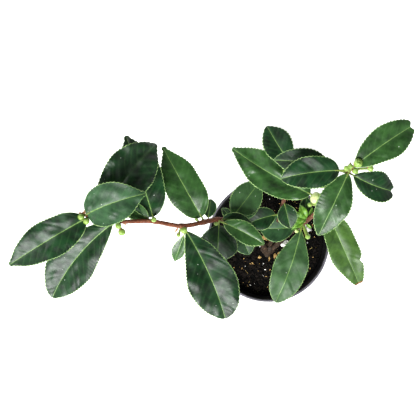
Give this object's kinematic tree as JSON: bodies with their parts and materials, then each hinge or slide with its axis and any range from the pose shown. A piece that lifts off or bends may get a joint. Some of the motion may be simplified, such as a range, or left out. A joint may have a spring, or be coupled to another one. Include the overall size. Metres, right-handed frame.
{
  "type": "potted young tea camellia shrub",
  "caption": "Young evergreen shrub in a round tapered nursery pot, with a long bough leaning out to one side, an upright bough and whorls of glossy toothed leaves",
  "frame": {"origin": "centre of the pot's flat underside, where it stands", "axes": "+Z up along the pot's axis; the long bough leans out towards -X; seen from above, +X is right and +Y is up"},
  "size_m": [0.3288, 0.1644, 0.2426],
  "materials": {
    "pot_plastic": "satin",
    "potting_mix": "matte",
    "bark": "matte",
    "foliage": "satin"
  },
  "bodies": {
    "root": {"pot": "pot_plastic", "potting_mix": "potting_mix", "trunk": "bark", "left_bough": "bark", "right_bough": "bark", "middle_shoot": "bark", "right_end_leaves": "foliage", "left_end_leaves": "foliage", "front_left_leaves": "foliage", "left_upper_leaves": "foliage", "rim_left_leaves": "foliage", "left_back_leaves": "foliage", "low_left_leaves": "foliage", "right_middle_leaves": "foliage", "centre_leaves": "foliage", "right_base_leaves": "foliage", "middle_top_leaf": "foliage"}
  },
  "joints": []
}
